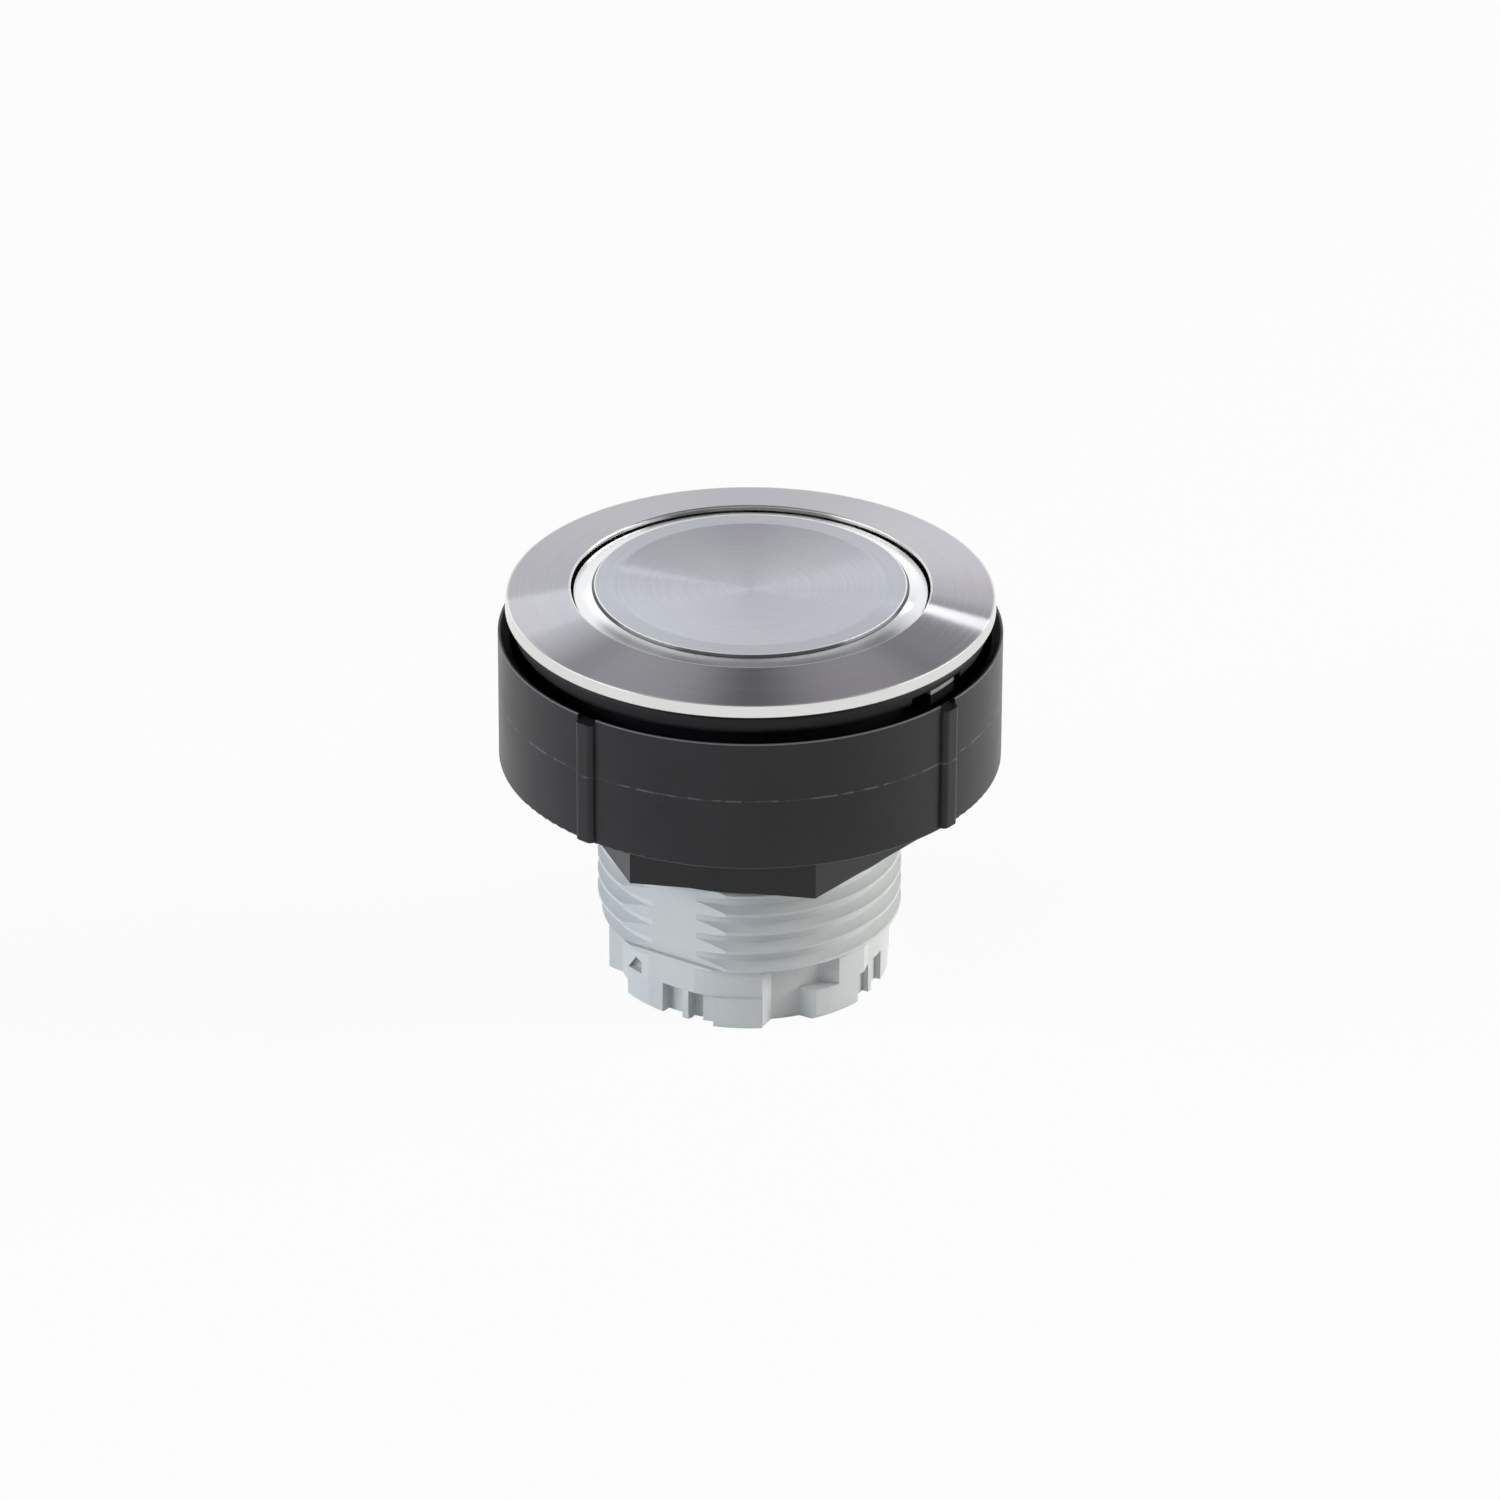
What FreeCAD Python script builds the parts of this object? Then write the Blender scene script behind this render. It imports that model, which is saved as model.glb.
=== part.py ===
import FreeCAD, Part
import math
import os
import Sketcher

# Flush push button for a round panel hole, without its contact blocks.
# The origin is the centre of the base's bottom face and +Z runs up to the button's face.
# Angles are measured about +Z. The side that the user of the panel calls the front is -Y.

# Driving sizes in millimetres and degrees
SIZES = {
    # Front ring
    "ring_face_width": 4.60,
    "ring_edge_flare": 0.10,
    "ring_edge_height": 0.94,
    "ring_edge_break": 0.10,
    "ring_crown": 0.75,
    "ring_bore_radius": 12.85,
    "ring_bore_break": 0.10,
    "neck_wall": 0.85,
    "neck_floor_gap": 0.10,
    # Moulded head and its cavity
    "head_wall": 1.28,
    "head_height": 9.76,
    "head_floor": 1.10,
    "head_flat_clearance": 0.03,
    "collar_clearance": 0.05,
    "collar_drop": 0.50,
    "flange_height": 1.10,
    "flange_clearance": 0.05,
    "head_edge_break": 0.30,
    "neck_clearance": 0.02,
    "o_ring_section": 0.76,
    "o_ring_clearance": 0.02,
    "clip_wire": 0.86,
    "clip_clearance": 0.04,
    "clip_rise": 1.30,
    "clip_gap_angle": 24.0,
    # Sleeve and thread
    "thread_radius": 11.00,
    "thread_depth": 0.75,
    "thread_pitch": 1.50,
    "thread_turns": 9.0,
    "thread_crest": 0.24,
    "thread_start": -0.05,
    "sleeve_length": 14.10,
    "sleeve_wall": 1.65,
    "flat_cut": 0.17,
    "flat_azimuth": -122.4,
    # Bayonet base
    "base_step": 0.40,
    "base_edge_break": 0.25,
    "base_flat_cut": 0.18,
    "base_height": 4.70,
    "tab_rise": 0.17,
    "notch_height": 2.38,
    "channel_depth": 1.10,
    "notch_depth": 0.95,
    "recess_depth": 0.50,
    "shoulder_width": 1.00,
    "socket_depth": 6.50,
    "arrow_base": 2.50,
    "arrow_side_height": 0.95,
    "arrow_height": 1.12,
    "arrow_depth": 0.60,
    "arrow_start_azimuth": -22.5,
    "arrow_peak_azimuth": -17.9,
    "arrow_end_azimuth": -14.6,
    # Anti-twist key and panel gasket
    "key_nut_clearance": 0.65,
    "key_start_azimuth": -40.0,
    "key_end_azimuth": -30.0,
    "key_height": 0.28,
    "key_rise": 0.22,
    "lug_height": 0.80,
    "key_seat_depth": 0.75,
    "key_clearance": 0.02,
    "gasket_setback": 0.55,
    "gasket_height": 1.56,
    "gasket_round": 0.42,
    "gasket_lip": 0.20,
    "gasket_fit": 0.02,
    "gasket_notch_start_azimuth": -48.0,
    "gasket_notch_end_azimuth": -29.4,
    "gasket_notch_height": 0.65,
    # Mounting nut
    "nut_head_clearance": 2.25,
    "nut_skirt_wall": 0.83,
    "nut_floor_gap": 0.60,
    "nut_hex_height": 5.30,
    "nut_hex_wall": 0.52,
    "nut_web": 1.30,
    "nut_bore_clearance": 0.08,
    "nut_face_width": 0.32,
    "nut_face_height": 0.24,
    "nut_rim_land": 0.20,
    "nut_rim_bevel": 0.60,
    "nut_edge_break": 0.20,
    "nut_rim_gap": 0.20,
    "nut_azimuth": -129.5,
    "rib_width": 1.55,
    "rib_height": 0.45,
    "rib_round": 0.42,
    "rib_count": 4,
    "rim_notch_width": 1.60,
    "rim_notch_depth": 0.40,
    # Button cap
    "cap_clearance": 0.20,
    "cap_edge_drop": 0.45,
    "cap_shoulder_width": 1.48,
    "cap_rise": 0.55,
    "cap_step_width": 0.12,
    "cap_step_height": 0.20,
    "cap_shoulder_round": 4.00,
    "cap_land": 1.47,
    "dish_depth": 0.40,
    "cap_top_wall": 1.35,
    "cap_skirt_wall": 0.80,
    "cap_skirt_length": 2.40,
    "cap_boss_radius": 3.00,
    "cap_boss_height": 3.60,
    "cap_hole_overrun": 0.50,
    "cap_boss_clearance": 0.05,
    # Plunger, pusher and the screw that ties them to the cap
    "plunger_fit": 0.05,
    "head_running_clearance": 0.09,
    "travel": 3.00,
    "travel_end_gap": 0.10,
    "core_boss_wall": 1.55,
    "core_rim_wall": 0.80,
    "core_depth": 2.00,
    "core_half_angle": 25.0,
    "core_count": 6,
    "seal_height": 0.90,
    "seal_depth": 1.35,
    "seal_bore_clearance": 0.05,
    "plunger_web": 1.60,
    "stem_wall": 1.60,
    "stem_clearance": 0.08,
    "pusher_socket_clearance": 0.60,
    "pusher_flange_height": 1.20,
    "pusher_stop_gap": 0.10,
    "pusher_nose_radius": 4.60,
    "pusher_nose_height": 0.60,
    "pusher_spigot_height": 3.10,
    "screw_radius": 1.23,
    "screw_hole_clearance": 0.12,
    "screw_thread_clearance": 0.02,
    "screw_tip_clearance": 0.80,
    "screw_head_recess": 0.40,
    "screw_head_clearance": 0.15,
    "screw_head_radius": 2.25,
    "screw_head_height": 1.60,
    "screw_slot_width": 0.60,
    "screw_slot_depth": 0.80,
    "washer_height": 0.40,
    # Guide bush, spring and stop
    "bush_height": 2.50,
    "bush_fit": 0.04,
    "seat_height": 0.50,
    "spring_stem_gap": 1.00,
    "spring_sleeve_gap": 0.80,
    "spring_wire": 0.80,
    "spring_turns": 5.0,
    "spring_end_gap": 0.04,
    "bumper_height": 0.50,
    "bumper_inner_gap": 0.60,
    "bumper_width": 1.30,
}

# Azimuths of the sides of each recess in one half of the base, at its floor and at the rim,
# counted from the first flat of the sleeve. The other half of the base repeats them.
SIDES = {
    "channel": (42.1, 37.6, 54.8, 59.4),
    "bayonet": (54.0, 54.0, 64.3, 70.1),
    "first_notch": (80.2, 80.2, 90.8, 90.8),
    "second_notch": (93.6, 93.6, 102.8, 102.8),
    "side": (90.8, 84.0, 131.4, 131.4),
    "long_channel": (137.4, 129.4, 154.4, 156.8),
    "wide_notch": (175.9, 175.9, 185.2, 185.2),
    "slit": (188.6, 188.6, 193.4, 193.4),
    "recess": (188.0, 188.0, 198.6, 198.6),
    "tab": (18.6, 18.6, 37.6, 37.6),
}
SIDE_NAMES = ("floor_start", "rim_start", "floor_end", "rim_end")
for recess_name, azimuths in SIDES.items():
    for side_name, azimuth in zip(SIDE_NAMES, azimuths):
        SIZES[f"{recess_name}_{side_name}"] = azimuth


class Measure:
    """A number with the spreadsheet formula that it comes from."""

    def __init__(self, value, formula):
        self.value = float(value)
        self.formula = formula

    def __add__(self, other):
        other = measure(other)
        return Measure(self.value + other.value, f"({self.formula} + {other.formula})")

    def __sub__(self, other):
        other = measure(other)
        return Measure(self.value - other.value, f"({self.formula} - {other.formula})")

    def __mul__(self, other):
        other = measure(other)
        return Measure(self.value * other.value, f"({self.formula} * {other.formula})")

    def __truediv__(self, other):
        other = measure(other)
        return Measure(self.value / other.value, f"({self.formula} / {other.formula})")

    def __neg__(self):
        return Measure(-self.value, f"(0 - {self.formula})")


def measure(number):
    """Turn a plain number into a Measure and leave a Measure as it is."""
    if isinstance(number, Measure):
        return number
    return Measure(number, repr(float(number)))


def size(name):
    """The driving size of that name."""
    return Measure(SIZES[name], f"Sizes.{name}")


def square_root(number):
    """The square root of a Measure."""
    return Measure(math.sqrt(number.value), f"sqrt({number.formula})")


def polar(radius, azimuth):
    """The two plan coordinates of a point given by its radius and azimuth."""
    turn = math.radians(azimuth.value)
    across = Measure(radius.value * math.cos(turn), f"({radius.formula} * cos({azimuth.formula}))")
    along = Measure(radius.value * math.sin(turn), f"({radius.formula} * sin({azimuth.formula}))")
    return across, along


def write_sheet(doc):
    """Put every driving size in the spreadsheet under its own name."""
    sheet = doc.addObject("Spreadsheet::Sheet", "Sizes")
    for row, (name, value) in enumerate(SIZES.items(), start=1):
        sheet.set(f"A{row}", name)
        sheet.set(f"B{row}", str(value))
        sheet.setAlias(f"B{row}", name)
    doc.recompute()


# Levels that several pieces share
ZERO = measure(0)
SLEEVE_BOTTOM = size("base_height")
HEAD_BOTTOM = SLEEVE_BOTTOM + size("sleeve_length")
COLLAR_BOTTOM = HEAD_BOTTOM - size("collar_drop")
CAVITY_FLOOR = HEAD_BOTTOM + size("head_floor")
FLANGE_TOP = CAVITY_FLOOR + size("flange_height")
HEAD_TOP = HEAD_BOTTOM + size("head_height")
RING_EDGE_TOP = HEAD_TOP + size("ring_edge_height")
RING_CREST = RING_EDGE_TOP + size("ring_crown")
NECK_BOTTOM = FLANGE_TOP + size("neck_floor_gap")
CLIP_LEVEL = NECK_BOTTOM + size("clip_rise")
CAP_EDGE = RING_CREST - size("cap_edge_drop")
CAP_FACE = CAP_EDGE + size("cap_rise")
CAP_CEILING = CAP_FACE - size("dish_depth") - size("cap_top_wall")
CAP_SKIRT_BOTTOM = CAP_EDGE - size("cap_skirt_length")
CAP_BOSS_BOTTOM = CAP_CEILING - size("cap_boss_height")
BUMPER_TOP = FLANGE_TOP + size("bumper_height")
PLUNGER_UNDERSIDE = BUMPER_TOP + size("travel_end_gap") + size("travel")
SEAL_BOTTOM = (PLUNGER_UNDERSIDE + CAP_SKIRT_BOTTOM - size("seal_height")) / 2
SEAL_TOP = SEAL_BOTTOM + size("seal_height")
PLUNGER_WEB_BOTTOM = CAP_BOSS_BOTTOM - size("plunger_web")
SHOULDER = size("socket_depth")
BUSH_TOP = SHOULDER + size("bush_height")
SPRING_SEAT = BUSH_TOP + size("seat_height")
PUSHER_TOP = SHOULDER - size("pusher_stop_gap")
PUSHER_FLANGE_BOTTOM = PUSHER_TOP - size("pusher_flange_height")
PUSHER_NOSE_BOTTOM = PUSHER_FLANGE_BOTTOM - size("pusher_nose_height")
PUSHER_SPIGOT_TOP = PUSHER_TOP + size("pusher_spigot_height")
SCREW_HEAD_BOTTOM = PUSHER_NOSE_BOTTOM + size("screw_head_recess")
SCREW_HEAD_TOP = SCREW_HEAD_BOTTOM + size("screw_head_height")
LOCK_WASHER_TOP = SCREW_HEAD_TOP + size("washer_height")
CAP_HOLE_TOP = CAP_CEILING + size("cap_hole_overrun")
GASKET_BOTTOM = HEAD_TOP - size("gasket_height")
KEY_TOP = GASKET_BOTTOM + size("key_rise")
KEY_BOTTOM = KEY_TOP - size("key_height")
LUG_BOTTOM = KEY_BOTTOM - size("lug_height")
NUT_RIM = GASKET_BOTTOM - size("nut_rim_gap")
NUT_WEB_TOP = HEAD_BOTTOM - size("nut_floor_gap")
NUT_SKIRT_BOTTOM = NUT_WEB_TOP - size("nut_web")
NUT_BOTTOM = NUT_SKIRT_BOTTOM - size("nut_hex_height")

# Radii that several pieces share
ROOT_RADIUS = size("thread_radius") - size("thread_depth")
FLAT_DISTANCE = ROOT_RADIUS - size("flat_cut")
BASE_RADIUS = size("thread_radius") - size("base_step")
SLEEVE_BORE = ROOT_RADIUS - size("sleeve_wall")
CHANNEL_RADIUS = BASE_RADIUS - size("channel_depth")
NOTCH_RADIUS = BASE_RADIUS - size("notch_depth")
RECESS_RADIUS = BASE_RADIUS - size("recess_depth")
SOCKET_RADIUS = SLEEVE_BORE - size("shoulder_width")
RING_TOP_RADIUS = size("ring_bore_radius") + size("ring_face_width")
RING_RIM_RADIUS = RING_TOP_RADIUS + size("ring_edge_flare")
NECK_RADIUS = size("ring_bore_radius") + size("neck_wall")
CAVITY_RADIUS = NECK_RADIUS + size("neck_clearance")
HEAD_RADIUS = CAVITY_RADIUS + size("head_wall")
GASKET_RADIUS = RING_RIM_RADIUS - size("gasket_setback")
CAP_RADIUS = size("ring_bore_radius") - size("cap_clearance")
CAP_FACE_RADIUS = CAP_RADIUS - size("cap_shoulder_width")
CAP_SKIRT_INNER = CAP_RADIUS - size("cap_skirt_wall")
PLUNGER_RADIUS = size("ring_bore_radius") - size("head_running_clearance")
PLUNGER_TOP_RADIUS = CAP_SKIRT_INNER - size("plunger_fit")
PLUNGER_BOSS_BORE = size("cap_boss_radius") + size("cap_boss_clearance")
SEAL_INNER_RADIUS = PLUNGER_RADIUS - size("seal_depth")
SPRING_INNER_RADIUS = SLEEVE_BORE - size("spring_sleeve_gap") - size("spring_wire")
STEM_RADIUS = SPRING_INNER_RADIUS - size("spring_stem_gap")
STEM_BORE = STEM_RADIUS - size("stem_wall")
CLIP_GROOVE_HALF = size("clip_wire") / 2 + size("clip_clearance")
O_RING_GROOVE = size("o_ring_section") + size("o_ring_clearance") * 2
O_RING_RADIUS = CAVITY_RADIUS + O_RING_GROOVE / 2
NUT_BORE_RADIUS = size("thread_radius") + size("nut_bore_clearance")
NUT_HEX_RADIUS = NUT_BORE_RADIUS + size("nut_hex_wall")
NUT_SKIRT_INNER = HEAD_RADIUS + size("nut_head_clearance")
NUT_RADIUS = NUT_SKIRT_INNER + size("nut_skirt_wall")
KEY_RADIUS = NUT_SKIRT_INNER - size("key_nut_clearance")
SCREW_HOLE_RADIUS = size("screw_radius") + size("screw_hole_clearance")


def new_body(doc, name, azimuth=None):
    """Start one piece, turned about the vertical axis where it has an azimuth of its own."""
    body = doc.addObject("PartDesign::Body", name)
    body.Label = name
    body.Placement = FreeCAD.Placement(FreeCAD.Vector(0, 0, 0), FreeCAD.Rotation(FreeCAD.Vector(0, 0, 1), 0))
    if azimuth is not None:
        body.setExpression("Placement.Rotation.Angle", azimuth.formula)
    return body


def origin_feature(body, role):
    """The plane or axis of that role in a piece's own origin."""
    for feature in body.Origin.OriginFeatures:
        if feature.Role == role:
            return feature
    raise RuntimeError(f"{body.Label} has no {role}")


def new_sketch(body, name, plane, level=None):
    """A sketch on one of the piece's planes, moved along its normal to a level."""
    sketch = body.newObject("Sketcher::SketchObject", name)
    sketch.AttachmentSupport = [(origin_feature(body, plane), "")]
    sketch.MapMode = "FlatFace"
    if level is not None:
        sketch.setExpression("AttachmentOffset.Base.z", level.formula)
    return sketch


def arc_geometry(start, end, radius, turn):
    """An arc from start to end. A turn of 1 goes round to the left, and -1 to the right."""
    chord = end - start
    half = chord.Length / 2
    rise = math.sqrt(max(radius * radius - half * half, 0))
    left = FreeCAD.Vector(-chord.y, chord.x, 0).normalize()
    centre = (start + end) * 0.5 + left * (rise * turn)
    first, last = (start, end) if turn > 0 else (end, start)
    first_angle = math.atan2(first.y - centre.y, first.x - centre.x)
    last_angle = math.atan2(last.y - centre.y, last.x - centre.x)
    if last_angle < first_angle:
        last_angle += 2 * math.pi
    circle = Part.Circle(centre, FreeCAD.Vector(0, 0, 1), radius)
    return Part.ArcOfCircle(circle, first_angle, last_angle)


def hold(sketch, kind, arguments, value, name):
    """Add one dimension to a sketch and bind it to its formula."""
    index = sketch.addConstraint(Sketcher.Constraint(kind, *arguments, value.value))
    sketch.renameConstraint(index, name)
    sketch.setExpression(f"Constraints.{name}", value.formula)


def draw_outline(sketch, corners):
    """Draw a closed outline. A corner is two coordinates, and may add the radius and turn of an arc
    that leads to the next corner."""
    points = [FreeCAD.Vector(corner[0].value, corner[1].value, 0) for corner in corners]
    ends = []
    for index, corner in enumerate(corners):
        start = points[index]
        end = points[(index + 1) % len(points)]
        if len(corner) == 2:
            geometry = sketch.addGeometry(Part.LineSegment(start, end))
            ends.append((geometry, 1, 2))
            continue
        radius, turn = corner[2], corner[3]
        geometry = sketch.addGeometry(arc_geometry(start, end, radius.value, turn))
        ends.append((geometry, 1, 2) if turn > 0 else (geometry, 2, 1))
    for index, (geometry, start_point, end_point) in enumerate(ends):
        following, next_start, _ = ends[(index + 1) % len(ends)]
        sketch.addConstraint(Sketcher.Constraint("Coincident", geometry, end_point, following, next_start))
    for index, (geometry, start_point, end_point) in enumerate(ends):
        corner = corners[index]
        hold(sketch, "DistanceX", (-1, 1, geometry, start_point), corner[0], f"across_{index}")
        hold(sketch, "DistanceY", (-1, 1, geometry, start_point), corner[1], f"up_{index}")
        if len(corner) == 4:
            hold(sketch, "Radius", (geometry,), corner[2], f"radius_{index}")


def draw_circle(sketch, across, up, radius):
    """Draw a circle whose centre and radius are held by formulas."""
    centre = FreeCAD.Vector(across.value, up.value, 0)
    geometry = sketch.addGeometry(Part.Circle(centre, FreeCAD.Vector(0, 0, 1), radius.value))
    hold(sketch, "DistanceX", (-1, 1, geometry, 3), across, "across")
    hold(sketch, "DistanceY", (-1, 1, geometry, 3), up, "up")
    hold(sketch, "Radius", (geometry,), radius, "radius")


def revolve(body, name, corners, kind="PartDesign::Revolution", sweep=None):
    """Turn an outline about the vertical axis, to add material or to cut a groove."""
    sketch = new_sketch(body, f"{name}_outline", "XZ_Plane")
    draw_outline(sketch, corners)
    return revolve_sketch(body, name, sketch, kind, sweep)


def revolve_sketch(body, name, sketch, kind="PartDesign::Revolution", sweep=None):
    """Turn a sketch about the vertical axis through a full turn or a sweep in degrees."""
    feature = body.newObject(kind, name)
    feature.Profile = sketch
    feature.ReferenceAxis = (sketch, ["V_Axis"])
    feature.Angle = 360
    if sweep is not None:
        feature.setExpression("Angle", sweep.formula)
    return feature


def pad(body, name, corners, bottom, top):
    """Raise a plan outline from one level to another."""
    sketch = new_sketch(body, f"{name}_plan", "XY_Plane", bottom)
    draw_outline(sketch, corners)
    feature = body.newObject("PartDesign::Pad", name)
    feature.Profile = sketch
    feature.setExpression("Length", (top - bottom).formula)
    return feature


def pocket(body, name, corners, bottom, top):
    """Cut a plan outline out between two levels."""
    sketch = new_sketch(body, f"{name}_plan", "XY_Plane", bottom)
    draw_outline(sketch, corners)
    feature = body.newObject("PartDesign::Pocket", name)
    feature.Profile = sketch
    feature.Reversed = True
    feature.setExpression("Length", (top - bottom).formula)
    return feature


def repeat_round(body, name, features, count):
    """Repeat features round the vertical axis of their piece."""
    pattern = body.newObject("PartDesign::PolarPattern", name)
    pattern.Originals = features
    pattern.Axis = (origin_feature(body, "Z_Axis"), [""])
    pattern.Angle = 360
    if isinstance(count, Measure):
        pattern.setExpression("Occurrences", count.formula)
    else:
        pattern.Occurrences = count
    body.Tip = pattern
    return pattern


def sector(name, floor_radius, rim_radius, reach):
    """The plan outline of a recess between two sides, open past the rim."""
    floor_start, rim_start, floor_end, rim_end = (size(f"{name}_{side}") for side in SIDE_NAMES)
    return [
        polar(floor_radius, floor_end) + (floor_radius, -1),
        polar(floor_radius, floor_start),
        polar(rim_radius, rim_start),
        polar(reach, rim_start),
        polar(reach, rim_end),
        polar(rim_radius, rim_end),
    ]


def rectangle(left, front, right, back):
    """The corners of a rectangle, counted to the left from its front left one."""
    return [(left, front), (right, front), (right, back), (left, back)]


def threaded_body(doc):
    """The grey moulding: bayonet base, threaded sleeve with two flats, and the flange inside the head."""
    body = new_body(doc, "threaded_body", size("flat_azimuth"))
    base, socket, crest = BASE_RADIUS, SOCKET_RADIUS, size("thread_radius")
    edge = size("base_edge_break")
    flange = CAVITY_RADIUS - size("flange_clearance")
    revolve(body, "moulding", [
        (socket, ZERO),
        (base - edge, ZERO),
        (base, edge),
        (base, SLEEVE_BOTTOM - edge),
        (base - edge, SLEEVE_BOTTOM),
        (ROOT_RADIUS, SLEEVE_BOTTOM),
        (ROOT_RADIUS, COLLAR_BOTTOM),
        (crest, COLLAR_BOTTOM),
        (crest, CAVITY_FLOOR),
        (flange, CAVITY_FLOOR),
        (flange, FLANGE_TOP),
        (SLEEVE_BORE, FLANGE_TOP),
        (SLEEVE_BORE, SHOULDER),
        (socket, SHOULDER),
    ])
    add_thread(body)
    cut_flats(body)
    cut_base(body)
    return body


def add_thread(body):
    """One helical ridge that starts on the base under the second flat and ends inside that flat."""
    sketch = new_sketch(body, "ridge_section", "XZ_Plane")
    centre = SLEEVE_BOTTOM + size("thread_start") - size("thread_pitch") / 2
    crest_half = size("thread_crest") / 2
    root_half = size("thread_pitch") / 2 - size("thread_crest") / 2
    crest = -size("thread_radius")
    sunk = size("thread_depth") / 4 - ROOT_RADIUS
    draw_outline(sketch, [
        (sunk, centre - root_half),
        (crest, centre - crest_half),
        (crest, centre + crest_half),
        (sunk, centre + root_half),
    ])
    helix = body.newObject("PartDesign::AdditiveHelix", "thread")
    helix.Profile = sketch
    helix.ReferenceAxis = (sketch, ["V_Axis"])
    helix.Mode = "pitch-turns-angle"
    helix.LeftHanded = False
    helix.setExpression("Pitch", size("thread_pitch").formula)
    helix.setExpression("Turns", size("thread_turns").formula)
    return helix


def cut_flats(body):
    """Two flats along the sleeve, which interrupt the thread."""
    reach = size("thread_radius") + size("thread_depth")
    outline = rectangle(FLAT_DISTANCE, -reach, reach, reach)
    flat = pocket(body, "flat", outline, SLEEVE_BOTTOM, CAVITY_FLOOR)
    repeat_round(body, "flats", [flat], 2)


def cut_base(body):
    """Key tabs, bayonet channels and coding notches, twice round the base."""
    base = BASE_RADIUS
    reach = size("thread_radius") + size("thread_depth") * 2
    channel, notch, recess = CHANNEL_RADIUS, NOTCH_RADIUS, RECESS_RADIUS
    low = size("notch_height")
    floors = {
        "channel": (channel, ZERO, SLEEVE_BOTTOM),
        "bayonet": (channel, low, SLEEVE_BOTTOM),
        "first_notch": (notch, ZERO, low),
        "second_notch": (notch, ZERO, low),
        "side": (recess, ZERO, SLEEVE_BOTTOM),
        "long_channel": (channel, ZERO, SLEEVE_BOTTOM),
        "wide_notch": (notch, ZERO, low),
        "slit": (notch, ZERO, low),
        "recess": (recess, ZERO, low),
    }
    flattened = rectangle(base - size("base_flat_cut"), -reach, reach, reach)
    features = [pocket(body, "base_flat", flattened, ZERO, SLEEVE_BOTTOM)]
    for name, (floor, bottom, top) in floors.items():
        features.append(pocket(body, name, sector(name, floor, base, reach), bottom, top))
    features.append(pad(body, "tab", tab_outline(), ZERO, low))
    features.append(cut_arrow(body))
    repeat_round(body, "base_halves", features, 2)


def tab_outline():
    """The key tab stands a little proud of the base's rim."""
    outer, inner = BASE_RADIUS + size("tab_rise"), NOTCH_RADIUS
    start, end = size("tab_rim_start"), size("tab_rim_end")
    return [
        polar(inner, start),
        polar(outer, start) + (outer, 1),
        polar(outer, end),
        polar(inner, end),
    ]


def cut_arrow(body):
    """A small pointed locating mark in the rim, cut square to the flats."""
    _, start = polar(BASE_RADIUS, size("arrow_start_azimuth"))
    surface, peak = polar(BASE_RADIUS, size("arrow_peak_azimuth"))
    _, end = polar(BASE_RADIUS, size("arrow_end_azimuth"))
    level = size("arrow_base")
    sketch = new_sketch(body, "arrow_outline", "YZ_Plane", surface - size("arrow_depth"))
    draw_outline(sketch, [
        (start, level),
        (end, level),
        (end, level + size("arrow_side_height")),
        (peak, level + size("arrow_height")),
    ])
    feature = body.newObject("PartDesign::Pocket", "arrow")
    feature.Profile = sketch
    feature.Reversed = True
    feature.setExpression("Length", (size("arrow_depth") * 2).formula)
    return feature


def head_housing(doc):
    """The black cup behind the panel, with a keyed hole for the sleeve, and the lug under the key."""
    azimuth = size("flat_azimuth")
    body = new_body(doc, "head_housing", azimuth)
    head, edge = HEAD_RADIUS, size("head_edge_break")
    clip_seat = CAVITY_RADIUS + CLIP_GROOVE_HALF
    rebate = CAVITY_RADIUS + O_RING_GROOVE
    revolve(body, "moulding", [
        (ZERO, HEAD_BOTTOM),
        (head - edge, HEAD_BOTTOM),
        (head, HEAD_BOTTOM + edge),
        (head, HEAD_TOP),
        (rebate, HEAD_TOP),
        (rebate, HEAD_TOP - O_RING_GROOVE),
        (CAVITY_RADIUS, HEAD_TOP - O_RING_GROOVE),
        (CAVITY_RADIUS, CLIP_LEVEL + CLIP_GROOVE_HALF),
        (clip_seat, CLIP_LEVEL + CLIP_GROOVE_HALF),
        (clip_seat, CLIP_LEVEL - CLIP_GROOVE_HALF),
        (CAVITY_RADIUS, CLIP_LEVEL - CLIP_GROOVE_HALF),
        (CAVITY_RADIUS, CAVITY_FLOOR),
        (ZERO, CAVITY_FLOOR),
    ])
    hole = size("thread_radius") + size("collar_clearance")
    flat = FLAT_DISTANCE + size("head_flat_clearance")
    half = square_root(hole * hole - flat * flat)
    keyed_hole = [(flat, -half), (flat, half, hole, 1), (-flat, half), (-flat, -half, hole, 1)]
    pocket(body, "keyed_hole", keyed_hole, HEAD_BOTTOM, CAVITY_FLOOR)
    seat = head - size("key_seat_depth")
    slot = key_outline(azimuth, seat, head + size("key_seat_depth"))
    pocket(body, "key_slot", slot, KEY_BOTTOM, KEY_TOP)
    pad(body, "lug", key_outline(azimuth, seat, KEY_RADIUS), LUG_BOTTOM, KEY_BOTTOM)
    return body


def key_outline(azimuth, inner, outer):
    """The plan of the anti-twist key between two radii, seen from a piece turned by an azimuth."""
    start, end = size("key_start_azimuth") - azimuth, size("key_end_azimuth") - azimuth
    return [
        polar(inner, end) + (inner, -1),
        polar(inner, start),
        polar(outer, start) + (outer, 1),
        polar(outer, end),
    ]


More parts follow.
